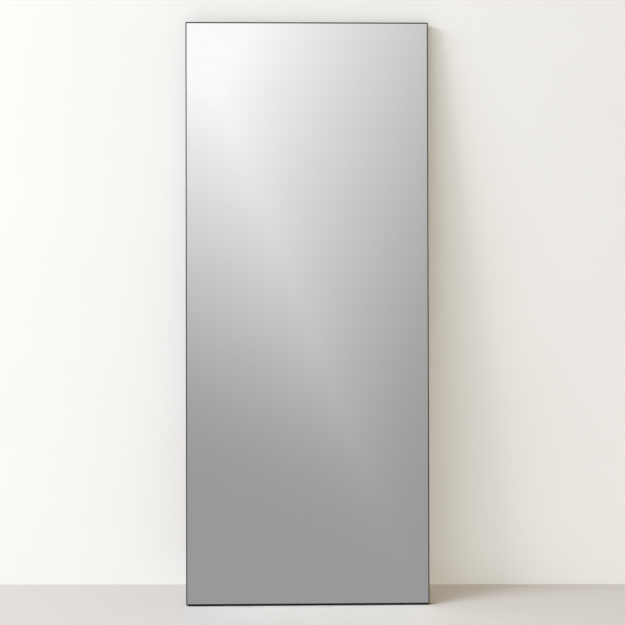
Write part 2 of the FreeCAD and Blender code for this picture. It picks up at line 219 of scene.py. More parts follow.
def powder_coated_aluminium(colours):
    # Extruded aluminium under a baked polyester powder. The powder flows into fine orange peel,
    # so the black is satin and a little uneven, and handling has polished its front edges.
    made, tree, place = started("powder_coated_aluminium")
    cloud = add(tree, "ShaderNodeTexNoise", {
        "Vector": place, "Scale": 1 / (60 * MM), "Detail": 3.0})
    speck = add(tree, "ShaderNodeTexNoise", {"Vector": place, "Scale": 1 / (6 * MM), "Detail": 4.0})
    peel = add(tree, "ShaderNodeTexNoise", {
        "Vector": place, "Scale": 1 / (1.2 * MM), "Detail": 2.0})
    parts = drawn_parts(tree, place)
    across = add(tree, "ShaderNodeMath", {0: parts.outputs["X"]}, operation="ABSOLUTE")
    inward = add(tree, "ShaderNodeMath", {
        0: HALF_WIDTH, 1: across.outputs[0]}, operation="SUBTRACT")
    nearness = add(tree, "ShaderNodeMath", {
        0: inward.outputs[0], 1: parts.outputs["Y"]}, operation="ADD")
    edge = add(tree, "ShaderNodeMapRange", {
        "Value": nearness.outputs[0], "From Min": 0.9 * MM, "From Max": 0.2 * MM})
    patch = add(tree, "ShaderNodeMapRange", {
        "Value": speck.outputs[0], "From Min": 0.45, "From Max": 0.62})
    rubbed = add(tree, "ShaderNodeMath", {
        0: edge.outputs[0], 1: patch.outputs[0]}, operation="MULTIPLY")
    uneven = add(tree, "ShaderNodeMix", {
        0: cloud.outputs[0], A: shade(colours.coat, 0.88), B: shade(colours.coat, 1.18)},
        data_type="RGBA")
    worn = add(tree, "ShaderNodeMix", {
        0: rubbed.outputs[0], A: uneven.outputs[MIXED], B: linear("#232325")}, data_type="RGBA")
    satin = add(tree, "ShaderNodeMapRange", {
        "Value": speck.outputs[0], "From Min": 0.3, "From Max": 0.7, "To Min": 0.42, "To Max": 0.5})
    polish = add(tree, "ShaderNodeMath", {
        0: rubbed.outputs[0], 1: -0.14, 2: satin.outputs[0]}, operation="MULTIPLY_ADD")
    bump = add(tree, "ShaderNodeBump", {
        "Height": peel.outputs[0], "Strength": 0.8, "Distance": 0.03 * MM})
    coat = add(tree, "ShaderNodeBsdfPrincipled", {
        "Base Color": worn.outputs[MIXED], "Roughness": polish.outputs[0],
        "Normal": bump.outputs[0], "IOR": 1.5, "Specular IOR Level": 0.3})
    add(tree, "ShaderNodeOutputMaterial", {0: coat.outputs[0]})
    return made


def powder_coated_steel(colours):
    # Folded mild steel in a thin black powder coat: glossier than the frame's, with small pits
    # and the faint lines of the rolled sheet under it.
    made, tree, place = started("powder_coated_steel")
    cloud = add(tree, "ShaderNodeTexNoise", {
        "Vector": place, "Scale": 1 / (25 * MM), "Detail": 4.0})
    pits = add(tree, "ShaderNodeTexVoronoi", {"Vector": place, "Scale": 1 / (1.6 * MM)})
    run = add(tree, "ShaderNodeMapping", {
        "Vector": place, "Scale": (1 / (30 * MM), 1 / (0.5 * MM), 1 / (0.5 * MM))})
    lines = add(tree, "ShaderNodeTexNoise", {"Vector": run.outputs[0], "Scale": 1.0, "Detail": 3.0})
    tone = add(tree, "ShaderNodeMix", {
        0: cloud.outputs[0], A: shade(colours.black_steel, 0.75),
        B: shade(colours.black_steel, 1.45)}, data_type="RGBA")
    gloss = add(tree, "ShaderNodeMapRange", {
        "Value": lines.outputs[0], "From Min": 0.3, "From Max": 0.7, "To Min": 0.26, "To Max": 0.4})
    sunk = add(tree, "ShaderNodeMapRange", {
        "Value": pits.outputs[0], "From Min": 0.0, "From Max": 0.35})
    relief = add(tree, "ShaderNodeMath", {
        0: lines.outputs[0], 1: 0.5, 2: sunk.outputs[0]}, operation="MULTIPLY_ADD")
    bump = add(tree, "ShaderNodeBump", {
        "Height": relief.outputs[0], "Strength": 0.6, "Distance": 0.02 * MM})
    coat = add(tree, "ShaderNodeBsdfPrincipled", {
        "Base Color": tone.outputs[MIXED], "Roughness": gloss.outputs[0],
        "Normal": bump.outputs[0], "IOR": 1.5})
    add(tree, "ShaderNodeOutputMaterial", {0: coat.outputs[0]})
    return made


def zinc_plated_steel(colours):
    # Stamped mild steel with bright zinc under a clear passivate: cool silver with straw and
    # blue clouds, the sheet's rolled grain, and small frosted blotches.
    made, tree, place = started("zinc_plated_steel")
    cloud = add(tree, "ShaderNodeTexNoise", {
        "Vector": place, "Scale": 1 / (16 * MM), "Detail": 3.0})
    run = add(tree, "ShaderNodeMapping", {
        "Vector": place, "Scale": (1 / (0.35 * MM), 1 / (0.35 * MM), 1 / (22 * MM))})
    rolled = add(tree, "ShaderNodeTexNoise", {
        "Vector": run.outputs[0], "Scale": 1.0, "Detail": 4.0})
    frost = add(tree, "ShaderNodeTexVoronoi", {
        "Vector": place, "Scale": 1 / (3.2 * MM), "Randomness": 1.0}, feature="SMOOTH_F1")
    straw = add(tree, "ShaderNodeMapRange", {
        "Value": cloud.outputs[0], "From Min": 0.35, "From Max": 0.75, "To Max": 0.55})
    tinted = add(tree, "ShaderNodeMix", {
        0: straw.outputs[0], A: colours.zinc, B: linear("#C9C3AE")}, data_type="RGBA")
    streak = add(tree, "ShaderNodeMapRange", {
        "Value": rolled.outputs[0], "From Min": 0.25, "From Max": 0.75, "To Max": 0.45})
    tone = add(tree, "ShaderNodeMix", {
        0: streak.outputs[0], A: tinted.outputs[MIXED], B: shade(colours.zinc, 0.62)},
        data_type="RGBA")
    blotch = add(tree, "ShaderNodeMath", {
        0: frost.outputs[0], 1: 0.25, 2: rolled.outputs[0]}, operation="MULTIPLY_ADD")
    gloss = add(tree, "ShaderNodeMapRange", {
        "Value": blotch.outputs[0], "From Min": 0.3, "From Max": 0.9,
        "To Min": 0.24, "To Max": 0.46})
    bump = add(tree, "ShaderNodeBump", {
        "Height": blotch.outputs[0], "Strength": 0.5, "Distance": 0.012 * MM})
    plate = add(tree, "ShaderNodeBsdfPrincipled", {
        "Base Color": tone.outputs[MIXED], "Metallic": 1.0, "Roughness": gloss.outputs[0],
        "Normal": bump.outputs[0]})
    add(tree, "ShaderNodeOutputMaterial", {0: plate.outputs[0]})
    return made


def plated_screw_steel(colours):
    # Cold-headed and thread-rolled steel screws, barrel plated with zinc: brighter than sheet,
    # with fine tumbling dents and grey oxide where the plate is thin.
    made, tree, place = started("plated_screw_steel")
    oxide = add(tree, "ShaderNodeTexNoise", {
        "Vector": place, "Scale": 1 / (2.2 * MM), "Detail": 4.0})
    dents = add(tree, "ShaderNodeTexVoronoi", {"Vector": place, "Scale": 1 / (0.7 * MM)})
    thin = add(tree, "ShaderNodeMapRange", {
        "Value": oxide.outputs[0], "From Min": 0.45, "From Max": 0.75, "To Max": 0.7})
    tone = add(tree, "ShaderNodeMix", {
        0: thin.outputs[0], A: shade(colours.zinc, 1.12), B: linear("#7F8285")}, data_type="RGBA")
    gloss = add(tree, "ShaderNodeMapRange", {
        "Value": oxide.outputs[0], "From Min": 0.3, "From Max": 0.7, "To Min": 0.18, "To Max": 0.4})
    bump = add(tree, "ShaderNodeBump", {
        "Height": dents.outputs[0], "Strength": 0.4, "Distance": 0.02 * MM})
    plate = add(tree, "ShaderNodeBsdfPrincipled", {
        "Base Color": tone.outputs[MIXED], "Metallic": 1.0, "Roughness": gloss.outputs[0],
        "Normal": bump.outputs[0]})
    add(tree, "ShaderNodeOutputMaterial", {0: plate.outputs[0]})
    return made


def nickel_plated_wire(colours):
    # Drawn steel wire with bright nickel: warmer than zinc and near mirror-smooth, with die
    # scratches and a light brown tarnish in patches.
    made, tree, place = started("nickel_plated_wire")
    tarnish = add(tree, "ShaderNodeTexNoise", {
        "Vector": place, "Scale": 1 / (5 * MM), "Detail": 3.0})
    fine = add(tree, "ShaderNodeMapping", {
        "Vector": place, "Scale": (1 / (0.25 * MM), 1 / (0.25 * MM), 1 / (4 * MM))})
    scratch = add(tree, "ShaderNodeTexNoise", {
        "Vector": fine.outputs[0], "Scale": 1.0, "Detail": 2.0})
    brown = add(tree, "ShaderNodeMapRange", {
        "Value": tarnish.outputs[0], "From Min": 0.42, "From Max": 0.78, "To Max": 0.6})
    tone = add(tree, "ShaderNodeMix", {
        0: brown.outputs[0], A: colours.nickel, B: linear("#A3927A")}, data_type="RGBA")
    gloss = add(tree, "ShaderNodeMapRange", {
        "Value": scratch.outputs[0], "From Min": 0.3, "From Max": 0.7,
        "To Min": 0.1, "To Max": 0.26})
    bump = add(tree, "ShaderNodeBump", {
        "Height": scratch.outputs[0], "Strength": 0.35, "Distance": 0.006 * MM})
    plate = add(tree, "ShaderNodeBsdfPrincipled", {
        "Base Color": tone.outputs[MIXED], "Metallic": 1.0, "Roughness": gloss.outputs[0],
        "Normal": bump.outputs[0]})
    add(tree, "ShaderNodeOutputMaterial", {0: plate.outputs[0]})
    return made


def silvered_float_glass(colours):
    # Float glass with silver behind it: it gives back nearly all light, a touch greener than it
    # came, with wiped smears too faint to see except in gloss. The ground edge is bottle green.
    # It has no bump, because float glass is flat to a few microns.
    made, tree, place = started("silvered_float_glass")
    wiped = add(tree, "ShaderNodeMapping", {
        "Vector": place, "Rotation": (0, math.radians(28), 0),
        "Scale": (260 * MM, 260 * MM, 45 * MM)}, vector_type="TEXTURE")
    smear = add(tree, "ShaderNodeTexNoise", {
        "Vector": wiped.outputs[0], "Scale": 1.0, "Detail": 4.0})
    parts = drawn_parts(tree, place)
    behind = add(tree, "ShaderNodeMapRange", {
        "Value": parts.outputs["Y"], "From Min": 1.6 * MM, "From Max": 2.0 * MM})
    film = add(tree, "ShaderNodeMapRange", {
        "Value": smear.outputs[0], "From Min": 0.5, "From Max": 0.8})
    face = add(tree, "ShaderNodeMix", {
        0: film.outputs[0], A: colours.silver, B: shade(colours.silver, 0.985)}, data_type="RGBA")
    tone = add(tree, "ShaderNodeMix", {
        0: behind.outputs[0], A: face.outputs[MIXED], B: linear("#6E8F80")}, data_type="RGBA")
    gloss = add(tree, "ShaderNodeMath", {
        0: film.outputs[0], 1: 0.012, 2: 0.002}, operation="MULTIPLY_ADD")
    glass = add(tree, "ShaderNodeBsdfPrincipled", {
        "Base Color": tone.outputs[MIXED], "Metallic": 1.0, "Roughness": gloss.outputs[0]})
    add(tree, "ShaderNodeOutputMaterial", {0: glass.outputs[0]})
    return made


def woven_safety_film():
    # Polythene film with flat tapes woven into it, glued to the back of the silvering: pale
    # grey, with the weave's fine squares pressed through it.
    made, tree, place = started("woven_polythene_film")
    cloud = add(tree, "ShaderNodeTexNoise", {
        "Vector": place, "Scale": 1 / (30 * MM), "Detail": 3.0})
    tapes = [add(tree, "ShaderNodeTexWave", {
        "Vector": place, "Scale": 1 / (3 * MM) / math.tau, "Distortion": 0.4, "Detail": 1.0},
        bands_direction=way) for way in "XZ"]
    weave = add(tree, "ShaderNodeMath", {
        0: tapes[0].outputs[1], 1: tapes[1].outputs[1]}, operation="MAXIMUM")
    tone = add(tree, "ShaderNodeMix", {
        0: weave.outputs[0], A: linear("#B9BDC0"), B: linear("#D2D5D6")}, data_type="RGBA")
    gloss = add(tree, "ShaderNodeMapRange", {
        "Value": cloud.outputs[0], "From Min": 0.3, "From Max": 0.7, "To Min": 0.2, "To Max": 0.36})
    bump = add(tree, "ShaderNodeBump", {
        "Height": weave.outputs[0], "Strength": 0.5, "Distance": 0.04 * MM})
    film = add(tree, "ShaderNodeBsdfPrincipled", {
        "Base Color": tone.outputs[MIXED], "Roughness": gloss.outputs[0],
        "Normal": bump.outputs[0], "IOR": 1.6})
    add(tree, "ShaderNodeOutputMaterial", {0: film.outputs[0]})
    return made


def foam_tape():
    # Closed-cell polyethylene foam with glue on both faces: off-white, matt, with fine cells
    # that show as pinholes, and dust held along the glue.
    made, tree, place = started("closed_cell_foam_tape")
    cells = add(tree, "ShaderNodeTexVoronoi", {"Vector": place, "Scale": 1 / (0.8 * MM)})
    dust = add(tree, "ShaderNodeTexNoise", {"Vector": place, "Scale": 1 / (10 * MM), "Detail": 4.0})
    tone = add(tree, "ShaderNodeMix", {
        0: dust.outputs[0], A: linear("#F0EEE8"), B: linear("#D3D0C6")}, data_type="RGBA")
    matt = add(tree, "ShaderNodeMapRange", {
        "Value": dust.outputs[0], "From Min": 0.3, "From Max": 0.7, "To Min": 0.7, "To Max": 0.85})
    bump = add(tree, "ShaderNodeBump", {
        "Height": cells.outputs[0], "Strength": 0.7, "Distance": 0.08 * MM})
    foam = add(tree, "ShaderNodeBsdfPrincipled", {
        "Base Color": tone.outputs[MIXED], "Roughness": matt.outputs[0],
        "Normal": bump.outputs[0], "IOR": 1.5})
    add(tree, "ShaderNodeOutputMaterial", {0: foam.outputs[0]})
    return made


def pressed_fibreboard(colours):
    # Hot-pressed wood fibre, one smooth tempered face: warm brown in soft clouds, with single
    # fibres lying every way, dark bark specks, and a dull sheen where the press plate met it.
    made, tree, place = started("pressed_fibreboard")
    cloud = add(tree, "ShaderNodeTexNoise", {
        "Vector": place, "Scale": 1 / (90 * MM), "Detail": 5.0})
    fibres = []
    for turn in (14, 81, 127):
        laid = add(tree, "ShaderNodeMapping", {
            "Vector": place, "Rotation": (0, math.radians(turn), 0),
            "Scale": (7 * MM, 7 * MM, 0.7 * MM)}, vector_type="TEXTURE")
        fibres.append(add(tree, "ShaderNodeTexNoise", {
            "Vector": laid.outputs[0], "Scale": 1.0, "Detail": 3.0, "Distortion": 0.9}))
    two = add(tree, "ShaderNodeMath", {
        0: fibres[0].outputs[0], 1: fibres[1].outputs[0]}, operation="MAXIMUM")
    felt = add(tree, "ShaderNodeMath", {
        0: two.outputs[0], 1: fibres[2].outputs[0]}, operation="MAXIMUM")
    bark = add(tree, "ShaderNodeTexVoronoi", {"Vector": place, "Scale": 1 / (5 * MM)})
    clouds = add(tree, "ShaderNodeMix", {
        0: cloud.outputs[0], A: shade(colours.board, 0.72), B: shade(colours.board, 1.22)},
        data_type="RGBA")
    pale = add(tree, "ShaderNodeMapRange", {
        "Value": felt.outputs[0], "From Min": 0.5, "From Max": 0.8, "To Max": 0.5})
    fibrous = add(tree, "ShaderNodeMix", {
        0: pale.outputs[0], A: clouds.outputs[MIXED], B: linear("#B5926B")}, data_type="RGBA")
    specks = add(tree, "ShaderNodeMapRange", {
        "Value": bark.outputs[0], "From Min": 0.16, "From Max": 0.06, "To Max": 0.75})
    tone = add(tree, "ShaderNodeMix", {
        0: specks.outputs[0], A: fibrous.outputs[MIXED], B: linear("#4A3422")}, data_type="RGBA")
    sheen = add(tree, "ShaderNodeMapRange", {
        "Value": felt.outputs[0], "From Min": 0.4, "From Max": 0.8, "To Min": 0.52, "To Max": 0.72})
    bump = add(tree, "ShaderNodeBump", {
        "Height": felt.outputs[0], "Strength": 0.6, "Distance": 0.06 * MM})
    wood = add(tree, "ShaderNodeBsdfPrincipled", {
        "Base Color": tone.outputs[MIXED], "Roughness": sheen.outputs[0],
        "Normal": bump.outputs[0], "IOR": 1.5})
    add(tree, "ShaderNodeOutputMaterial", {0: wood.outputs[0]})
    return made


def moulded_rubber(colours):
    # Compression-moulded EPDM: dull black with the mould's fine spark grain, and a grey bloom
    # that comes to the surface in patches.
    made, tree, place = started("moulded_epdm_rubber")
    bloom = add(tree, "ShaderNodeTexNoise", {"Vector": place, "Scale": 1 / (9 * MM), "Detail": 4.0})
    spark = add(tree, "ShaderNodeTexVoronoi", {"Vector": place, "Scale": 1 / (0.5 * MM)})
    grey = add(tree, "ShaderNodeMapRange", {
        "Value": bloom.outputs[0], "From Min": 0.45, "From Max": 0.75})
    tone = add(tree, "ShaderNodeMix", {
        0: grey.outputs[0], A: colours.rubber, B: linear("#232322")}, data_type="RGBA")
    matt = add(tree, "ShaderNodeMapRange", {
        "Value": bloom.outputs[0], "From Min": 0.3, "From Max": 0.7,
        "To Min": 0.62, "To Max": 0.84})
    bump = add(tree, "ShaderNodeBump", {
        "Height": spark.outputs[0], "Strength": 0.6, "Distance": 0.03 * MM})
    rubber = add(tree, "ShaderNodeBsdfPrincipled", {
        "Base Color": tone.outputs[MIXED], "Roughness": matt.outputs[0],
        "Normal": bump.outputs[0], "IOR": 1.5, "Specular IOR Level": 0.25})
    add(tree, "ShaderNodeOutputMaterial", {0: rubber.outputs[0]})
    return made


# ---------------------------------------------------------------- meshes

def dress(finish, *names):
    """Gives CAD nodes a finish in place of their packed colour."""
    for name in names:
        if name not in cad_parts:
            raise RuntimeError(f"the packed model has no node {name}")
        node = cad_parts[name]
        if not node.material_slots:
            node.data.materials.append(finish)
        for place in node.material_slots:
            place.material = finish


def block(name, low, high):
    """A new block between two corners of the upright drawing, leant back, in edit mode."""
    bpy.ops.object.select_all(action="DESELECT")
    middle = (Vector(low) + Vector(high)) / 2
    bpy.ops.mesh.primitive_cube_add(
        size=1, location=row(*middle), rotation=(-LEAN, 0, 0), scale=Vector(high) - Vector(low))
    bpy.ops.object.transform_apply(location=True, rotation=True, scale=True)
    piece = bpy.context.object
    piece.name = piece.data.name = name
    bpy.ops.object.mode_set(mode="EDIT")
    return piece


def pick(piece, kind, wanted):
    """In edit mode, leaves just the faces or edges selected that wanted() is true of."""
    bpy.ops.mesh.select_mode(type=kind)
    bpy.ops.mesh.select_all(action="DESELECT")
    mesh = bmesh.from_edit_mesh(piece.data)
    found = [part for part in (mesh.faces if kind == "FACE" else mesh.edges) if wanted(part)]
    if not found:
        raise RuntimeError(f"{piece.name} has none of the {kind.lower()}s to be shaped")
    for part in found:
        part.select_set(True)
    bmesh.update_edit_mesh(piece.data)


def runs(edge, axis):
    """True if a mesh edge runs along an axis."""
    way = edge.verts[1].co - edge.verts[0].co
    return way.length > 0 and abs(way.normalized().dot(axis)) > ALONG


def eased(piece, width):
    """Leaves edit mode, rounds the piece's sharp edges and shades it smooth between them."""
    sharp, smooth_below = math.radians(35), math.radians(40)
    bpy.ops.mesh.select_all(action="SELECT")
    bpy.ops.mesh.normals_make_consistent(inside=False)
    bpy.ops.object.mode_set(mode="OBJECT")
    bevel = piece.modifiers.new("ease", "BEVEL")
    bevel.width, bevel.segments, bevel.limit_method = width, 2, "ANGLE"
    bevel.angle_limit = sharp
    bpy.ops.object.modifier_apply(modifier=bevel.name)
    bpy.ops.object.shade_smooth_by_angle(angle=smooth_below)


def stands_for(piece, finish, node):
    """Gives a finished piece its material and puts it in place of the CAD's own."""
    piece.data.materials.append(finish)
    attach(piece, BODY)
    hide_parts(node)


# ---------------------------------------------------------------- the object's pieces

class MIRROR_OT_frame_bars(Operator):
    """Coats the frame's four mitred bars"""
    bl_idname = "floor_mirror.frame_bars"
    bl_label = "Frame bars"

    def execute(self, context):
        dress(powder_coated_aluminium(context.scene.mirror_colours),
              "rail_top", "rail_bottom", "stile_left", "stile_right")
        return {"FINISHED"}


class MIRROR_OT_pane(Operator):
    """Silvers the pane and finishes the film and tapes behind it"""
    bl_idname = "floor_mirror.pane"
    bl_label = "Mirror pane"

    def execute(self, context):
        colours = context.scene.mirror_colours
        dress(silvered_float_glass(colours), "mirror_glass")
        dress(woven_safety_film(), "safety_film")
        dress(foam_tape(), "bonding_tapes")
        return {"FINISHED"}


class MIRROR_OT_board(Operator):
    """Finishes the backing board"""
    bl_idname = "floor_mirror.board"
    bl_label = "Backing board"

    def execute(self, context):
        dress(pressed_fibreboard(context.scene.mirror_colours), "backing_board")
        return {"FINISHED"}


class MIRROR_OT_hardware(Operator):
    """Finishes corner plates, hangers, rings, brace and strap tabs"""
    bl_idname = "floor_mirror.hardware"
    bl_label = "Plates, hangers and brace"

    def execute(self, context):
        colours = context.scene.mirror_colours
        dress(zinc_plated_steel(colours), "hanger_strap_left", "hanger_strap_right",
              *[f"corner_plate_{end}_{side}" for end in ("top", "bottom")
                for side in ("left", "right")])
        dress(powder_coated_steel(colours), "centre_brace", "tether_bracket_left",
              "tether_bracket_right")
        dress(nickel_plated_wire(colours), "hanger_ring_left", "hanger_ring_right")
        return {"FINISHED"}


class MIRROR_OT_screws(Operator):
    """Finishes every screw"""
    bl_idname = "floor_mirror.screws"
    bl_label = "Screws"

    def execute(self, context):
        dress(plated_screw_steel(context.scene.mirror_colours),
              *[f"{group}_screws" for group in ("corner", "board", "brace", "hanger", "tether")])
        return {"FINISHED"}


class MIRROR_OT_rubber(Operator):
    """Moulds the strips under and behind the frame, and finishes the glazing blocks inside"""
    bl_idname = "floor_mirror.rubber"
    bl_label = "Rubber strips"

    def execute(self, context):
        sizes = context.scene.mirror_sizes
        rubber = moulded_rubber(context.scene.mirror_colours)
        dress(rubber, "setting_pads", "edge_spacers")
        self.mould_foot(sizes, rubber)
        self.mould_strips(sizes, rubber)
        return {"FINISHED"}

    def mould_foot(self, sizes, rubber):
        corner, rim = 3.0 * MM, 0.6 * MM            # radius, and how far the flange stands out
        deep, draft = 5.0 * MM, 0.985               # past the floor before the cut, and taper
        sole_rim, groove = 1.8 * MM, 0.5 * MM       # plain border of the sole, and depth of grooves
        ease = 0.15 * MM
        start = sizes.foot_inset - HALF_WIDTH
        foot = block("foot_rubber", (start, sizes.foot_front, -sizes.foot_flange),
                     (-start, sizes.foot_back, 0))
        pick(foot, "EDGE", lambda e: runs(e, UP))
        bpy.ops.mesh.bevel(offset=corner, offset_type="OFFSET", segments=6, affect="EDGES")
        pick(foot, "FACE", lambda f: f.normal.dot(UP) < -ALONG)
        bpy.ops.mesh.inset(thickness=rim)
        bpy.ops.mesh.extrude_region_move(TRANSFORM_OT_translate={"value": -deep * UP})
        middle = row(0, (sizes.foot_front + sizes.foot_back) / 2, -deep)
        bpy.ops.transform.resize(value=(1, draft, 1), center_override=middle)
        bpy.ops.mesh.select_all(action="SELECT")
        bpy.ops.mesh.bisect(
            plane_co=(0, 0, 0), plane_no=(0, 0, 1), use_fill=True, clear_inner=True)

        def on_sole(face):
            return face.normal.z < -ALONG and face.calc_center_median().z < TOUCHING

        pick(foot, "FACE", on_sole)
        bpy.ops.mesh.inset(thickness=sole_rim)
        soles = [face for face in bmesh.from_edit_mesh(foot.data).faces if on_sole(face)]
        sides = [vert.co.y for vert in max(soles, key=lambda f: f.calc_area()).verts]
        low, step = min(sides), (max(sides) - min(sides)) / (2 * sizes.foot_grooves + 1)

        def inside(face):
            middle = face.calc_center_median()
            return on_sole(face) and abs(middle.x) < corner and low < middle.y < max(sides)

        for cut in range(1, 2 * sizes.foot_grooves + 1):
            pick(foot, "FACE", inside)
            bpy.ops.mesh.bisect(plane_co=(0, low + cut * step, 0), plane_no=(0, 1, 0))
        pick(foot, "FACE", lambda f: inside(f) and int(
            (f.calc_center_median().y - low) / step) % 2 == 1)
        bpy.ops.mesh.extrude_region_move(TRANSFORM_OT_translate={"value": (0, 0, groove)})
        eased(foot, ease)
        stands_for(foot, rubber, "foot_strip")

    def mould_strips(self, sizes, rubber):
        corner, rim = 1.0 * MM, 0.3 * MM            # radius, and how far the flange stands out
        base, deep = 0.6 * MM, 4.0 * MM             # flange, and drawn past the wall to be cut
        face_rim, groove = 0.7 * MM, 0.35 * MM      # plain border, and depth of grooves
        bands, ease = 5, 0.12 * MM                  # lands and grooves by turns, from a land
        start = sizes.strip_inset - HALF_WIDTH
        end = start + sizes.strip_length
        top = HEIGHT - sizes.strip_drop
        foot = top - sizes.strip_height
        strip = block("wall_strip_left", (start, DEPTH, foot), (end, DEPTH + base, top))
        pick(strip, "EDGE", lambda e: runs(e, BACK))
        bpy.ops.mesh.bevel(offset=corner, offset_type="OFFSET", segments=4, affect="EDGES")
        pick(strip, "FACE", lambda f: f.normal.dot(BACK) > ALONG)
        bpy.ops.mesh.inset(thickness=rim)
        bpy.ops.mesh.extrude_region_move(TRANSFORM_OT_translate={"value": deep * BACK})
        bpy.ops.mesh.select_all(action="SELECT")
        bpy.ops.mesh.bisect(
            plane_co=(0, STANDOFF, 0), plane_no=(0, 1, 0), use_fill=True, clear_outer=True)

        def on_wall(face):
            return face.normal.y > ALONG and face.calc_center_median().y > STANDOFF - TOUCHING

        pick(strip, "FACE", on_wall)
        bpy.ops.mesh.inset(thickness=face_rim)
        low = foot + rim + face_rim
        step = (top - rim - face_rim - low) / bands

        def height(face):
            return (face.calc_center_median() - DRAWN).dot(UP)

        def inside(face):
            return (on_wall(face) and low < height(face) < low + bands * step
                    and abs(face.calc_center_median().x - (start + end) / 2) < corner)

        for cut in range(1, bands):
            pick(strip, "FACE", inside)
            bpy.ops.mesh.bisect(plane_co=row(0, DEPTH, low + cut * step), plane_no=UP)
        pick(strip, "FACE", lambda f: inside(f) and int((height(f) - low) / step) % 2 == 1)
        bpy.ops.mesh.extrude_region_move(TRANSFORM_OT_translate={"value": (0, -groove, 0)})
        eased(strip, ease)
        bpy.ops.object.duplicate()
        twin = bpy.context.object
        twin.name = twin.data.name = "wall_strip_right"
        bpy.ops.transform.translate(value=(-(start + end), 0, 0))
        bpy.ops.object.transform_apply(location=True, rotation=True, scale=True)
        stands_for(strip, rubber, "wall_pad_left")
        stands_for(twin, rubber, "wall_pad_right")


# ---------------------------------------------------------------- the stage

# The grey ramps that the pane mirrors: value straight ahead, then its change for each unit to
# the right and for each unit up, all in display shares. The lesser of the two ramps shows.
LEFT_RAMP = (0.772, 0.472, 1.061)
RIGHT_RAMP = (0.787, -1.044, 0.467)
RAMP_LOW, RAMP_HIGH = 0.599, 0.980
RIDGE_BLEND, FLOOR_BLEND = 0.012, 0.11      # how softly they meet each other and their low end
RAMP_CONE = (0.80, 0.94)      # cosines from straight ahead, where they start and are full
GIVEN_BACK = 0.9              # share of light that the silvering gives back
LEAST_AHEAD = 0.2             # keeps the slopes finite for rays that leave sideways
# Grey all round the ramps: the rise of a direction where it starts and ends, and its levels
AROUND_FROM, AROUND_TO = (-1.0, 0.7), (0.56, 0.74)
# Soft panels beside and behind: direction, cosine where each starts and is full, brightness
PANELS = (
    ((-0.90, -0.38, 0.22), 0.70, 0.97, 0.42),
    ((0.52, 0.74, 0.43), 0.72, 0.96, 0.55),
    ((-0.70, 0.70, 0.10), 0.82, 0.98, 0.30),
)
# The window's light that the pane throws on the floor: where it comes from, and the cosines
# where the patch starts and is full
WINDOW_WAY = Vector((-0.83, -0.30, 0.44)).normalized()
WINDOW_PATCH = (0.80, 0.95)
BOUNCED = 0.5                 # diffuse bounces over which a ray counts as bounced
PALE = "#F0EEEA"
FLOOR_SIZE = 9.0
WALL_WIDE, WALL_HIGH = 9.0, 4.5
FLOOR_FADE, WALL_FADE = (2.2, 4.2), (2.3, 4.2)      # where the paint starts to thin and is gone
WALL_PIVOT = Vector((0.355, STANDOFF, 0))           # behind the middle of the right strip
# The key light: place, aim, width, height and colour
KEY = ((-6.576, -2.374, 4.473), (0, 0, 1.0), 3.195, 1.497, (0.805, 0.903, 1.0))
REAR = ((2.2, 3.2, 3.0), (0, 0, 0.95), 2.4, 1.8, (1.0, 0.99, 0.97))
FILL_COLOUR = (0.93, 1.0, 0.987)
CAMERA_PLACE = (-0.0367, -3.2656, 1.2209)
CAMERA_YAW, CAMERA_PITCH, CAMERA_ROLL = (math.radians(v) for v in (-0.938, -4.58, 0.043))


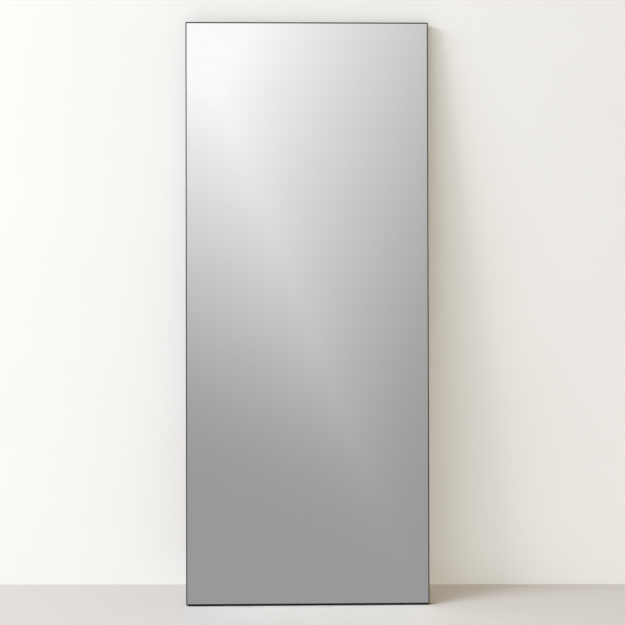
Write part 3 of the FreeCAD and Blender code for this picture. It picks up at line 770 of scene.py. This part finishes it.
def studio_world(scene, studio):
    """Room light, a pale background for the camera, and ramps and panels for gloss to mirror."""
    world = bpy.data.worlds.new("studio_world")
    world.use_nodes = True
    scene.world = world
    tree = world.node_tree
    tree.nodes.clear()
    way = add(tree, "ShaderNodeTexCoord").outputs["Generated"]
    parts = add(tree, "ShaderNodeSeparateXYZ", {0: way})
    ahead = add(tree, "ShaderNodeVectorMath", {0: way, 1: -BACK}, operation="DOT_PRODUCT")
    rising = add(tree, "ShaderNodeVectorMath", {0: way, 1: UP}, operation="DOT_PRODUCT")
    reach = add(tree, "ShaderNodeMath", {0: ahead.outputs["Value"], 1: LEAST_AHEAD},
        operation="MAXIMUM")
    right = add(tree, "ShaderNodeMath", {
        0: parts.outputs["X"], 1: reach.outputs[0]}, operation="DIVIDE")
    rise = add(tree, "ShaderNodeMath", {
        0: rising.outputs["Value"], 1: reach.outputs[0]}, operation="DIVIDE")
    ramps = []
    for start, by_right, by_rise in (LEFT_RAMP, RIGHT_RAMP):
        across = add(tree, "ShaderNodeMath", {
            0: right.outputs[0], 1: by_right, 2: start}, operation="MULTIPLY_ADD")
        ramps.append(add(tree, "ShaderNodeMath", {
            0: rise.outputs[0], 1: by_rise, 2: across.outputs[0]}, operation="MULTIPLY_ADD"))
    lesser = add(tree, "ShaderNodeMath", {
        0: ramps[0].outputs[0], 1: ramps[1].outputs[0], 2: RIDGE_BLEND},
        operation="SMOOTH_MIN")
    floored = add(tree, "ShaderNodeMath", {
        0: lesser.outputs[0], 1: RAMP_LOW, 2: FLOOR_BLEND}, operation="SMOOTH_MAX")
    capped = add(tree, "ShaderNodeMath", {0: floored.outputs[0], 1: RAMP_HIGH}, operation="MINIMUM")
    shifted = add(tree, "ShaderNodeMath", {
        0: capped.outputs[0], 1: 1 / CURVE_SCALE, 2: CURVE_OFFSET / CURVE_SCALE},
        operation="MULTIPLY_ADD")
    shown = add(tree, "ShaderNodeMath", {
        0: shifted.outputs[0], 1: CURVE_POWER}, operation="POWER")
    front = add(tree, "ShaderNodeMath", {
        0: shown.outputs[0], 1: 1 / GIVEN_BACK}, operation="MULTIPLY")
    around = add(tree, "ShaderNodeMapRange", {
        "Value": parts.outputs["Z"], "From Min": AROUND_FROM[0], "From Max": AROUND_FROM[1],
        "To Min": AROUND_TO[0], "To Max": AROUND_TO[1]}, interpolation_type="SMOOTHSTEP")
    for middle, starts, full, bright in PANELS:
        near = add(tree, "ShaderNodeVectorMath", {0: way, 1: middle}, operation="DOT_PRODUCT")
        panel = add(tree, "ShaderNodeMapRange", {
            "Value": near.outputs["Value"], "From Min": starts, "From Max": full,
            "To Max": bright}, interpolation_type="SMOOTHSTEP")
        around = add(tree, "ShaderNodeMath", {
            0: around.outputs[0], 1: panel.outputs[0]}, operation="ADD")
    cone = add(tree, "ShaderNodeMapRange", {
        "Value": ahead.outputs["Value"], "From Min": RAMP_CONE[0], "From Max": RAMP_CONE[1]},
        interpolation_type="SMOOTHSTEP")
    mirrored = add(tree, "ShaderNodeMix", {
        0: cone.outputs[0], PLAIN_A: around.outputs[0], PLAIN_B: front.outputs[0]},
        data_type="FLOAT")
    ray = add(tree, "ShaderNodeLightPath")
    seen = add(tree, "ShaderNodeMath", {
        0: ray.outputs["Is Camera Ray"], 1: ray.outputs["Is Transmission Ray"]},
        operation="MAXIMUM")
    window = add(tree, "ShaderNodeMath", {
        0: parts.outputs["X"], 1: -1.0}, operation="MULTIPLY", use_clamp=True)
    lit = add(tree, "ShaderNodeMix", {
        0: window.outputs[0], A: studio.ambient, B: studio.window},
        data_type="RGBA", blend_type="ADD")
    plain = add(tree, "ShaderNodeMix", {
        0: seen.outputs[0], A: lit.outputs[MIXED], B: linear(PALE)}, data_type="RGBA")
    # What the pane throws on to the floor is the window's light from upper left.
    toward = add(tree, "ShaderNodeVectorMath", {0: way, 1: WINDOW_WAY}, operation="DOT_PRODUCT")
    glow = add(tree, "ShaderNodeMapRange", {
        "Value": toward.outputs["Value"],
        "From Min": WINDOW_PATCH[0], "From Max": WINDOW_PATCH[1]})
    thrown = add(tree, "ShaderNodeMix", {
        0: glow.outputs[0], A: (0, 0, 0, 1), B: studio.thrown}, data_type="RGBA")
    bounced = add(tree, "ShaderNodeMath", {
        0: ray.outputs["Diffuse Depth"], 1: BOUNCED}, operation="GREATER_THAN")
    glossy = add(tree, "ShaderNodeMix", {
        0: bounced.outputs[0], A: mirrored.outputs[0], B: thrown.outputs[MIXED]},
        data_type="RGBA")
    shown_to = add(tree, "ShaderNodeMix", {
        0: ray.outputs["Is Glossy Ray"], A: plain.outputs[MIXED], B: glossy.outputs[MIXED]},
        data_type="RGBA")
    light = add(tree, "ShaderNodeBackground", {"Color": shown_to.outputs[MIXED], "Strength": 1.0})
    add(tree, "ShaderNodeOutputWorld", {0: light.outputs[0]})


def backdrop_paint(name, colour, fade, one_sided):
    """Matt paint with a roller's fine stipple, which thins out to the pale world at its ends."""
    made, tree, place = started(name)
    cloud = add(tree, "ShaderNodeTexNoise", {"Vector": place, "Scale": 1 / 0.35, "Detail": 3.0})
    stipple = add(tree, "ShaderNodeTexNoise", {"Vector": place, "Scale": 1 / (4 * MM)})
    tone = add(tree, "ShaderNodeMix", {
        0: cloud.outputs[0], A: shade(colour, 0.985), B: shade(colour, 1.015)}, data_type="RGBA")
    bump = add(tree, "ShaderNodeBump", {
        "Height": stipple.outputs[0], "Strength": 0.3, "Distance": 0.1 * MM})
    paint = add(tree, "ShaderNodeBsdfPrincipled", {
        "Base Color": tone.outputs[MIXED], "Roughness": 0.9, "Specular IOR Level": 0.1,
        "Normal": bump.outputs[0]})
    clear = add(tree, "ShaderNodeBsdfTransparent")
    far = add(tree, "ShaderNodeVectorMath", {0: place}, operation="LENGTH")
    gone = add(tree, "ShaderNodeMapRange", {
        "Value": far.outputs["Value"], "From Min": fade[0], "From Max": fade[1]},
        interpolation_type="SMOOTHSTEP")
    if one_sided:
        side = add(tree, "ShaderNodeNewGeometry")
        gone = add(tree, "ShaderNodeMath", {
            0: gone.outputs[0], 1: side.outputs["Backfacing"]}, operation="MAXIMUM")
    mixed = add(tree, "ShaderNodeMixShader", {
        0: gone.outputs[0], 1: paint.outputs[0], 2: clear.outputs[0]})
    add(tree, "ShaderNodeOutputMaterial", {0: mixed.outputs[0]})
    return made


def soft_light(name, place, aim, width, height, colour, power):
    """A one-sided panel of light that gloss and the camera don't see."""
    toward = (Vector(aim) - Vector(place)).to_track_quat("-Z", "Y").to_euler()
    bpy.ops.object.light_add(type="AREA", location=place, rotation=toward)
    lamp = bpy.context.object
    lamp.name = lamp.data.name = name
    lamp.data.shape, lamp.data.size, lamp.data.size_y = "RECTANGLE", width, height
    lamp.data.color, lamp.data.energy = colour, power
    lamp.visible_camera = lamp.visible_glossy = False
    return lamp


class MIRROR_OT_studio(Operator):
    """Sets up floor, wall, lights and the camera at the photographed angle"""
    bl_idname = "floor_mirror.studio"
    bl_label = "Studio and camera"

    def execute(self, context):
        scene, studio = context.scene, context.scene.mirror_studio
        bpy.ops.object.select_all(action="DESELECT")
        scene.view_settings.view_transform = "Standard"
        studio_world(scene, studio)
        self.floor_and_wall()
        self.lights(studio)
        self.camera(scene, studio)
        return {"FINISHED"}

    def floor_and_wall(self):
        bpy.ops.mesh.primitive_plane_add(size=FLOOR_SIZE, location=(0, 0, 0))
        floor = bpy.context.object
        floor.name = floor.data.name = "studio_floor"
        floor.data.materials.append(
            backdrop_paint("floor_paint", linear("#EFECE8"), FLOOR_FADE, False))
        floor.visible_glossy = False
        # The wall is turned by as much as the photograph's camera was, which keeps its foot level
        # in the picture. Its paint is clear from behind, so that the mirror's back can be seen.
        turned = Matrix.Rotation(CAMERA_YAW, 4, "Z")
        place = WALL_PIVOT + turned @ Vector((-WALL_PIVOT.x, 0, WALL_HIGH / 2))
        bpy.ops.mesh.primitive_plane_add(
            size=1, location=place, rotation=(math.pi / 2, 0, CAMERA_YAW))
        wall = bpy.context.object
        wall.scale = (WALL_WIDE, WALL_HIGH, 1)
        bpy.ops.object.transform_apply(location=True, rotation=True, scale=True)
        wall.name = wall.data.name = "studio_wall"
        wall.data.materials.append(
            backdrop_paint("wall_paint", linear("#EFEDEB"), WALL_FADE, True))
        wall.visible_diffuse = wall.visible_glossy = wall.visible_transmission = False
        wall.visible_shadow = False
        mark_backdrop(floor, wall)

    def lights(self, studio):
        soft_light("key_light", *KEY, studio.key_power)
        bpy.ops.object.light_add(type="SUN", location=(0, -3, 1.5), rotation=(math.pi / 2, 0, 0))
        fill = bpy.context.object
        fill.name = fill.data.name = "fill_light"
        fill.data.energy, fill.data.color = studio.fill, FILL_COLOUR
        fill.data.use_shadow = fill.visible_glossy = False
        # It lights the object alone, so that the floor and wall keep the key light's shadow.
        rear = soft_light("rear_light", *REAR, studio.rear_power)
        rear.visible_glossy = True
        lit = bpy.data.collections.new("lit_from_behind")
        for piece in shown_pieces():
            lit.objects.link(piece)
        rear.light_linking.receiver_collection = lit

    def camera(self, scene, studio):
        turned = (Matrix.Rotation(CAMERA_YAW, 4, "Z") @ Matrix.Rotation(CAMERA_PITCH, 4, "X")
                  @ Matrix.Rotation(CAMERA_ROLL, 4, "Y") @ Matrix.Rotation(math.pi / 2, 4, "X"))
        bpy.ops.object.camera_add(location=CAMERA_PLACE, rotation=turned.to_euler())
        camera = bpy.context.object
        camera.name = camera.data.name = "photo_camera"
        camera.data.lens = studio.lens
        scene.camera = camera


# ---------------------------------------------------------------- sidebar and registration

STEPS = (MIRROR_OT_frame_bars, MIRROR_OT_pane, MIRROR_OT_board, MIRROR_OT_hardware,
         MIRROR_OT_screws, MIRROR_OT_rubber, MIRROR_OT_studio)


class MIRROR_PT_sidebar(Panel):
    """Lists the pieces of the mirror in the order that they are made"""
    bl_idname = "MIRROR_PT_sidebar"
    bl_label = "Leaning Floor Mirror"
    bl_space_type = "VIEW_3D"
    bl_region_type = "UI"
    bl_category = "Floor Mirror"

    def draw(self, context):
        for step in STEPS:
            self.layout.operator(step.bl_idname)


GROUPS = {"mirror_sizes": MirrorSizes, "mirror_colours": MirrorColours,
          "mirror_studio": StudioSettings}


def register():
    for part in (*GROUPS.values(), *STEPS, MIRROR_PT_sidebar):
        bpy.utils.register_class(part)
    for name, group in GROUPS.items():
        setattr(bpy.types.Scene, name, PointerProperty(type=group))


def unregister():
    for name in GROUPS:
        delattr(bpy.types.Scene, name)
    for part in reversed((*GROUPS.values(), *STEPS, MIRROR_PT_sidebar)):
        bpy.utils.unregister_class(part)


def main():
    register()
    bpy.ops.floor_mirror.frame_bars()
    bpy.ops.floor_mirror.pane()
    bpy.ops.floor_mirror.board()
    bpy.ops.floor_mirror.hardware()
    bpy.ops.floor_mirror.screws()
    bpy.ops.floor_mirror.rubber()
    bpy.ops.floor_mirror.studio()


if __name__ == "__main__":
    main()
